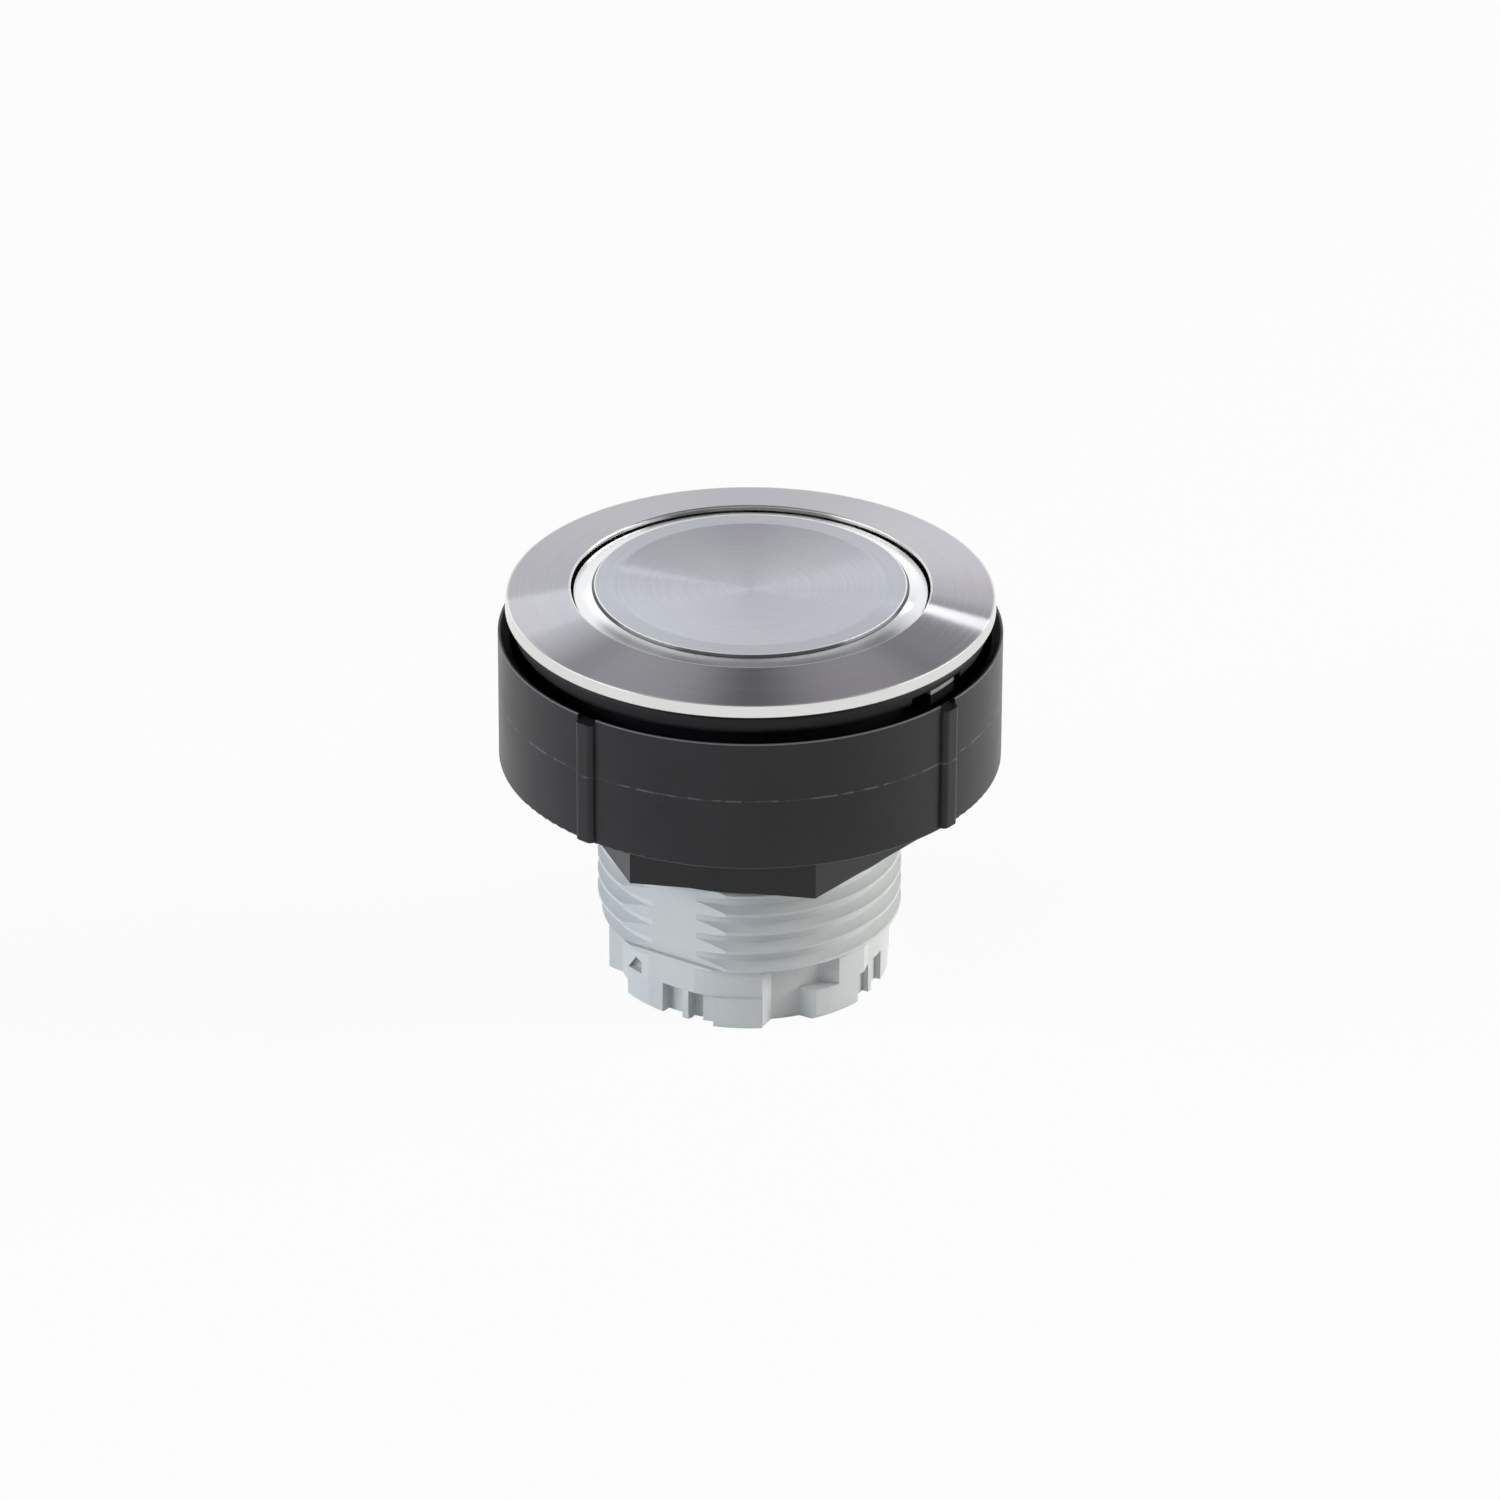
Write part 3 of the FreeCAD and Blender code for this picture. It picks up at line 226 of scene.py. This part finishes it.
class Nodes:
    """A short way to write the nodes of a material or of the world."""

    # The colour sockets of a mix node, which has a set of them for each kind of value
    MIX_FACTOR, MIX_FIRST, MIX_SECOND, MIX_RESULT = 0, 6, 7, 2

    def __init__(self, holder):
        holder.use_nodes = True
        self.tree = holder.node_tree
        self.tree.nodes.clear()

    def add(self, kind, inputs=None, **settings):
        """Add one node, set its properties and fill its inputs with values or other nodes' outputs."""
        node = self.tree.nodes.new(kind)
        for name, value in settings.items():
            setattr(node, name, value)
        for name, value in (inputs or {}).items():
            self.fill(node.inputs[name], value)
        return node

    def fill(self, socket, value):
        """Set a socket's value or link an output to it."""
        if isinstance(value, bpy.types.NodeSocket):
            self.tree.links.new(value, socket)
        else:
            socket.default_value = value

    def math(self, operation, first, second=0.0, third=0.0):
        """One step of arithmetic."""
        return self.add("ShaderNodeMath", {0: first, 1: second, 2: third}, operation=operation).outputs[0]

    def span(self, value, low, high, out_low=0.0, out_high=1.0, smooth=False):
        """Carry a value from one range to another and hold it at the ends."""
        inputs = {"Value": value, "From Min": low, "From Max": high, "To Min": out_low, "To Max": out_high}
        curve = "SMOOTHSTEP" if smooth else "LINEAR"
        return self.add("ShaderNodeMapRange", inputs, interpolation_type=curve).outputs[0]

    def fall(self, value, start, end):
        """1 up to the start of a fade and 0 from its end."""
        return self.span(value, start, end, 1.0, 0.0)

    def blend(self, first, second, share):
        """The first value's share and the rest of the second, added up."""
        return self.math("MULTIPLY_ADD", first, share, self.math("MULTIPLY", second, 1.0 - share))

    def mix(self, factor, first, second):
        """Blend two colours."""
        node = self.add("ShaderNodeMix", data_type="RGBA")
        self.fill(node.inputs[self.MIX_FACTOR], factor)
        self.fill(node.inputs[self.MIX_FIRST], first)
        self.fill(node.inputs[self.MIX_SECOND], second)
        return node.outputs[self.MIX_RESULT]

    def noise(self, vector, scale, detail=2.0, roughness=0.5):
        """Smooth noise between 0 and 1."""
        inputs = {"Vector": vector, "Scale": scale, "Detail": detail, "Roughness": roughness}
        return self.add("ShaderNodeTexNoise", inputs).outputs[0]

    def scale(self, colour, factor):
        """Make a colour lighter or darker."""
        return self.add("ShaderNodeVectorMath", {0: colour, "Scale": factor}, operation="SCALE").outputs[0]

    def soft_edges(self, radius):
        """The normal of a surface whose edges are rounded a little."""
        return self.add("ShaderNodeBevel", {"Radius": radius}, samples=EDGE_SAMPLES).outputs[0]

    def bump(self, height, distance, strength, normal=None):
        """The normal of a surface that is raised by a height between 0 and 1, times a distance."""
        inputs = {"Height": height, "Distance": distance, "Strength": strength}
        if normal is not None:
            inputs["Normal"] = normal
        return self.add("ShaderNodeBump", inputs).outputs[0]

    def round_tangent(self):
        """The direction round the upright axis."""
        return self.add("ShaderNodeTangent", direction_type="RADIAL", axis="Z").outputs[0]

    def seen_rays(self):
        """1 for rays that are mirrored or pass through, and 1 for rays from the camera."""
        rays = self.add("ShaderNodeLightPath").outputs
        mirrored = self.math("MAXIMUM", rays["Is Glossy Ray"], rays["Is Transmission Ray"])
        return mirrored, rays["Is Camera Ray"]


def opaque(colour, tint=(1.0, 1.0, 1.0)):
    """A colour with four parts, tinted."""
    return tuple(part * share for part, share in zip(colour, tint)) + (1.0,)


def add_object(name, data):
    """A new object, linked to the scene."""
    item = bpy.data.objects.new(name, data)
    bpy.context.scene.collection.objects.link(item)
    return item


def new_material(name):
    """A material that is one shader, with its nodes and the shader."""
    material = bpy.data.materials.new(name)
    nodes = Nodes(material)
    shader = nodes.add("ShaderNodeBsdfPrincipled")
    nodes.add("ShaderNodeOutputMaterial", {"Surface": shader.outputs[0]})
    return material, nodes, shader


def object_place(nodes):
    """The point in the object's own coordinates, its three parts and its distance from the axis."""
    point = nodes.add("ShaderNodeTexCoord").outputs["Object"]
    across, along, up = nodes.add("ShaderNodeSeparateXYZ", {0: point}).outputs
    squares = nodes.math("MULTIPLY_ADD", across, across, nodes.math("MULTIPLY", along, along))
    return Place(point, across, along, up, nodes.math("SQRT", squares))


def ring_streaks(nodes, place, fineness, length):
    """Noise drawn out round the axis: fine from ring to ring, and long along each ring."""
    radius = nodes.math("MAXIMUM", place.radius, STREAK_START)
    east = nodes.math("DIVIDE", place.across, radius)
    north = nodes.math("DIVIDE", place.along, radius)
    drawn_out = nodes.add("ShaderNodeCombineXYZ", {
        0: nodes.math("MULTIPLY", east, length),
        1: nodes.math("MULTIPLY", north, length),
        2: nodes.math("MULTIPLY", place.radius, fineness),
    })
    return nodes.noise(drawn_out.outputs[0], 1.0, detail=3.0, roughness=0.6)


def brushed_colour(nodes, place, colour, streaks):
    """The colour of brushed steel: a warm and a cool tarnish, with lighter and darker streaks."""
    tarnish = nodes.span(nodes.noise(place.point, TARNISH_SCALE), *NOISE_CORE)
    tarnished = nodes.mix(tarnish, opaque(colour, WARM_TINT), opaque(colour, COOL_TINT))
    return nodes.scale(tarnished, nodes.span(streaks, *NOISE_MIDDLE, *BRUSHED_TONES))


def steel_roughness(nodes, place, steel, streaks, mask):
    """Roughness that follows the streaks where steel is brushed, and smudges where it is polished."""
    brushed = nodes.span(streaks, *NOISE_RANGE, *steel.brushed_roughness)
    smudges = nodes.noise(place.point, SMUDGE_SCALE, detail=3.0)
    polished = nodes.span(smudges, *NOISE_RANGE, *steel.polished_roughness)
    return nodes.math("MULTIPLY_ADD", nodes.math("SUBTRACT", brushed, polished), mask, polished)


def circular_steel(name, steel, brushed_mask, painted_shade_mask=None):
    """Turned stainless steel: brushed in rings where its mask is 1 and polished elsewhere, with painted
    shade where a shade mask is given.
    """
    material, nodes, shader = new_material(name)
    place = object_place(nodes)
    mask = brushed_mask(nodes, place)
    fine = ring_streaks(nodes, place, *FINE_STREAKS)
    broad = ring_streaks(nodes, place, *BROAD_STREAKS)
    streaks = nodes.blend(fine, broad, FINE_SHARE)
    colour = nodes.mix(mask, opaque(steel.polished), brushed_colour(nodes, place, steel.brushed, streaks))
    if painted_shade_mask is not None:
        # Painted shade on the button's step: its colour is darkened there
        shade = nodes.math("MULTIPLY_ADD", painted_shade_mask(nodes, place), PAINTED_STEP_SHADE - 1.0, 1.0)
        colour = nodes.scale(colour, shade)
    grooves = nodes.math("MULTIPLY", streaks, mask)
    normal = nodes.bump(grooves, BRUSHED_DEPTH, BRUSHED_STRENGTH, nodes.soft_edges(steel.edge))
    nodes.fill(shader.inputs["Base Color"], colour)
    nodes.fill(shader.inputs["Roughness"], steel_roughness(nodes, place, steel, streaks, mask))
    nodes.fill(shader.inputs["Normal"], normal)
    nodes.fill(shader.inputs["Tangent"], nodes.round_tangent())
    shader.inputs["Metallic"].default_value = 1.0
    shader.inputs["Anisotropic"].default_value = SHEEN_STRENGTH
    shader.inputs["Anisotropic Rotation"].default_value = SHEEN_TURN
    return material


def ring_face(nodes, place):
    """1 on the crowned face of the front ring, between its bore and its bright rim."""
    inside = nodes.fall(place.radius, *RING_FACE_OUTER)
    across = nodes.math("MULTIPLY", nodes.span(place.radius, *RING_FACE_INNER), inside)
    return nodes.math("MULTIPLY", across, nodes.span(place.up, *RING_FACE_BOTTOM))


def cap_face(nodes, place):
    """1 on the dished face of the button, inside its step."""
    return nodes.fall(place.radius, *CAP_FACE_OUTER)


def painted_step_shade(nodes, place):
    """1 where shade is painted on the small step between the button's face and its polished shoulder."""
    inside = nodes.fall(place.radius, *CAP_STEP_OUTER)
    return nodes.math("MULTIPLY", nodes.span(place.radius, *CAP_STEP_INNER), inside)


def nut_parting_line_and_rim_highlight(nodes, place, flow):
    """1 for a highlight painted along the sharp edge of the nut's rim, and a broken, fainter pale line
    where its mould parts.
    """
    wander = nodes.math("MULTIPLY", nodes.math("SUBTRACT", flow, NOISE_MEAN), PARTING_WANDER)
    level = nodes.math("ADD", nodes.math("SUBTRACT", place.up, PARTING_LEVEL), wander)
    line = nodes.span(nodes.math("ABSOLUTE", level), *PARTING_FADE, PARTING_SHARE, 0.0)
    gaps = nodes.span(nodes.noise(place.point, PARTING_SCALE, detail=3.0), *PARTING_GAPS)
    broken = nodes.math("MULTIPLY_ADD", gaps, 1.0 - PARTING_GAP_SHARE, PARTING_GAP_SHARE)
    # A highlight painted along the sharp edge of the nut's rim, where light would catch it
    outside = nodes.span(place.radius, *NUT_RIM_HIGHLIGHT_INNER)
    edge = nodes.math("MULTIPLY", outside, nodes.span(place.up, *NUT_RIM_HIGHLIGHT_BOTTOM))
    return nodes.math("MAXIMUM", nodes.math("MULTIPLY", line, broken), edge)


def moulded_plastic(name, plastic, lines=None):
    """Moulded plastic: a fine eroded grain, faint flow marks and, where it has them, pale lines and a
    painted highlight.
    """
    material, nodes, shader = new_material(name)
    place = object_place(nodes)
    flow = nodes.noise(place.point, FLOW_SCALE, detail=4.0, roughness=0.6)
    fine = nodes.noise(place.point, GRAIN_SCALE, detail=2.0, roughness=0.7)
    tone = nodes.blend(flow, fine, FLOW_TONE_SHARE)
    height = nodes.blend(flow, fine, FLOW_HEIGHT_SHARE)
    colour = nodes.mix(nodes.span(tone, *NOISE_MIDDLE), opaque(plastic.dark), opaque(plastic.light))
    # Pale lines, which on the nut are its parting line and a painted highlight along its rim
    if lines is not None:
        line = lines(nodes, place, flow)
        colour = nodes.mix(line, colour, PARTING_LINE_AND_HIGHLIGHT_COLOUR)
        height = nodes.math("ADD", height, line)
    roughnesses = [plastic.roughness + shift for shift in PLASTIC_SPREAD]
    nodes.fill(shader.inputs["Base Color"], colour)
    nodes.fill(shader.inputs["Roughness"], nodes.span(tone, *NOISE_RANGE, *roughnesses))
    normal = nodes.bump(height, plastic.grain, PLASTIC_STRENGTH, nodes.soft_edges(PLASTIC_EDGE))
    nodes.fill(shader.inputs["Normal"], normal)
    shader.inputs["Specular IOR Level"].default_value = plastic.gloss
    return material


def moulded_rubber(name):
    """Black sealing rubber with a dull bloom."""
    material, nodes, shader = new_material(name)
    point = nodes.add("ShaderNodeTexCoord").outputs["Object"]
    bloom = nodes.noise(point, BLOOM_SCALE, detail=4.0, roughness=0.6)
    nodes.fill(shader.inputs["Base Color"], nodes.mix(bloom, RUBBER_DARK, RUBBER_LIGHT))
    nodes.fill(shader.inputs["Roughness"], nodes.span(bloom, *NOISE_RANGE, *RUBBER_ROUGHNESS))
    normal = nodes.bump(bloom, BLOOM_DEPTH, BLOOM_STRENGTH, nodes.soft_edges(RUBBER_EDGE))
    nodes.fill(shader.inputs["Normal"], normal)
    shader.inputs["Specular IOR Level"].default_value = RUBBER_GLOSS
    return material


def drawn_steel(name, colour, roughness):
    """Small turned or drawn steel parts with faint marks along the turning."""
    material, nodes, shader = new_material(name)
    marks = ring_streaks(nodes, object_place(nodes), *DRAWN_STREAKS)
    dull = opaque(colour, (MARK_TONE, MARK_TONE, MARK_TONE))
    roughnesses = [roughness + shift for shift in STEEL_SPREAD]
    nodes.fill(shader.inputs["Base Color"], nodes.mix(marks, dull, opaque(colour)))
    nodes.fill(shader.inputs["Roughness"], nodes.span(marks, *NOISE_RANGE, *roughnesses))
    nodes.fill(shader.inputs["Normal"], nodes.bump(marks, MARK_DEPTH, MARK_STRENGTH))
    shader.inputs["Metallic"].default_value = 1.0
    return material


def dress_nodes():
    """Give every CAD node its finish: those that aren't listed are the rubber seals and the stop."""
    black = moulded_plastic("black_moulding", BLACK_PLASTIC)
    natural = moulded_plastic("natural_moulding", NATURAL_PLASTIC)
    zinc = drawn_steel("zinc_plate", *ZINC_PLATE)
    wire = drawn_steel("spring_wire", *SPRING_WIRE)
    rubber = moulded_rubber("seal_rubber")
    finishes = {
        "threaded_body": moulded_plastic("grey_moulding", GREY_PLASTIC),
        "anti_twist_key": moulded_plastic("key_moulding", KEY_PLASTIC),
        "head_housing": black,
        "mounting_nut": moulded_plastic("black_nut", NUT_PLASTIC, nut_parting_line_and_rim_highlight),
        "front_ring": circular_steel("ring_steel", RING_STEEL, ring_face),
        "button_cap": circular_steel("cap_steel", CAP_STEEL, cap_face, painted_step_shade),
        "plunger": natural,
        "guide_bush": natural,
        "pusher": black,
        "spring_seat": zinc,
        "centre_screw": zinc,
        "screw_lock_washer": zinc,
        "return_spring": wire,
        "ring_retaining_clip": wire,
    }
    for name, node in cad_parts.items():
        for slot in node.material_slots:
            slot.material = finishes.get(name, rubber)


def build_spring():
    """The return spring as its own piece, carried by the housing."""
    coil = add_object("spring_coil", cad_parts["return_spring"].data.copy())
    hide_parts("return_spring")
    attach(coil, "housing")
    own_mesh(coil)


def floor_material():
    """A pale matt surface that is nearly white to the camera and keeps a soft shadow."""
    material = bpy.data.materials.new("pale_floor")
    nodes = Nodes(material)
    mirrored, seen = nodes.seen_rays()
    share = nodes.math("MULTIPLY", nodes.math("MAXIMUM", seen, mirrored), FLOOR_WHITE_SHARE)
    matt = nodes.add("ShaderNodeBsdfDiffuse", {"Color": FLOOR_COLOUR}).outputs[0]
    glow = nodes.add("ShaderNodeEmission", {"Color": WHITE, "Strength": 1.0}).outputs[0]
    mixed = nodes.add("ShaderNodeMixShader", {0: share, 1: matt, 2: glow}).outputs[0]
    nodes.add("ShaderNodeOutputMaterial", {"Surface": mixed})
    return material


def build_floor():
    """A wide pale floor under the object."""
    half = FLOOR_HALF
    mesh = bpy.data.meshes.new("floor")
    corners = [(-half, -half, 0), (half, -half, 0), (half, half, 0), (-half, half, 0)]
    mesh.from_pydata(corners, [], [(0, 1, 2, 3)])
    mesh.materials.append(floor_material())
    add_object("floor", mesh)


def studio_panel(nodes, direction, studio, panel):
    """Lay one round panel with soft edges over the mirrored studio."""
    middle = tuple(Vector(panel.direction).normalized())
    facing = nodes.add("ShaderNodeVectorMath", {0: direction, 1: middle}, operation="DOT_PRODUCT")
    edge, full = math.cos(math.radians(panel.end)), math.cos(math.radians(panel.full))
    mask = nodes.span(facing.outputs["Value"], edge, full, smooth=True)
    return nodes.math("MULTIPLY_ADD", nodes.math("SUBTRACT", panel.level, studio), mask, studio)


def mirrored_studio(nodes, direction):
    """The level of the studio in each direction."""
    across, along, up = nodes.add("ShaderNodeSeparateXYZ", {0: direction}).outputs
    reach = STUDIO_LIFT_REACH
    sideways = nodes.math("MINIMUM", nodes.math("ABSOLUTE", across), reach)
    rightward = nodes.span(across, -reach, reach, -reach, reach)
    height = nodes.math("MULTIPLY_ADD", sideways, -STUDIO_SIDE_LIFT, up)
    height = nodes.math("MULTIPLY_ADD", rightward, STUDIO_LEFT_LIFT, height)
    overhead = nodes.span(height, STUDIO_WHITE_UP_TO, STUDIO_DIM_FROM, smooth=True)
    ceiling = nodes.math("MULTIPLY_ADD", overhead, STUDIO_DIM - 1.0, 1.0)
    front = nodes.span(along, *STUDIO_FRONT_FADE, STUDIO_FRONT_LEVEL, 1.0, smooth=True)
    studio = nodes.math("MULTIPLY", ceiling, front)
    for panel in STUDIO_PANELS.values():
        studio = studio_panel(nodes, direction, studio, panel)
    return studio


def build_world():
    """White to the camera, a soft even light on the object, and the studio in what steel mirrors."""
    world = bpy.data.worlds.new("studio")
    bpy.context.scene.world = world
    nodes = Nodes(world)
    studio = mirrored_studio(nodes, nodes.add("ShaderNodeTexCoord").outputs["Generated"])
    mirrored, seen = nodes.seen_rays()
    level = nodes.math("MULTIPLY_ADD", nodes.math("SUBTRACT", studio, ROOM_LEVEL), mirrored, ROOM_LEVEL)
    strength = nodes.math("MAXIMUM", level, seen)
    background = nodes.add("ShaderNodeBackground", {"Color": WHITE, "Strength": strength}).outputs[0]
    nodes.add("ShaderNodeOutputWorld", {"Surface": background})


def build_lights():
    """Broad lamps left, right and above, and two small ones behind that draw spokes on the steel."""
    aim = Vector((0.0, 0.0, LAMP_AIM_HEIGHT))
    for name, lamp in LAMPS.items():
        data = bpy.data.lights.new(name, "AREA")
        data.shape = "RECTANGLE"
        data.size = lamp.width
        data.size_y = lamp.height
        data.energy = lamp.power
        data.color = lamp.tint
        back = Vector(lamp.direction).normalized()
        item = add_object(name, data)
        item.location = aim + back * lamp.distance
        item.rotation_euler = (-back).to_track_quat("-Z", "Y").to_euler()
        item.visible_glossy = lamp.mirrored


def build_camera():
    """The photograph's view, from the front and about 28 degrees above the horizontal."""
    elevation = math.radians(CAMERA_ELEVATION)
    back = Vector((0.0, -math.cos(elevation), math.sin(elevation)))
    data = bpy.data.cameras.new("camera")
    data.lens = CAMERA_LENS
    data.sensor_width = CAMERA_SENSOR
    data.clip_start = CAMERA_NEAREST
    camera = add_object("camera", data)
    camera.location = Vector((0.0, 0.0, CAMERA_AIM_HEIGHT)) + back * CAMERA_DISTANCE
    facing = (-back).to_track_quat("-Z", "Y").to_matrix().to_4x4()
    roll = Matrix.Rotation(math.radians(CAMERA_ROLL), 4, "Z")
    camera.rotation_euler = (facing @ roll).to_euler()
    bpy.context.scene.camera = camera


dress_nodes()
build_spring()
build_floor()
build_world()
build_lights()
build_camera()
bpy.context.scene.view_settings.view_transform = "Standard"
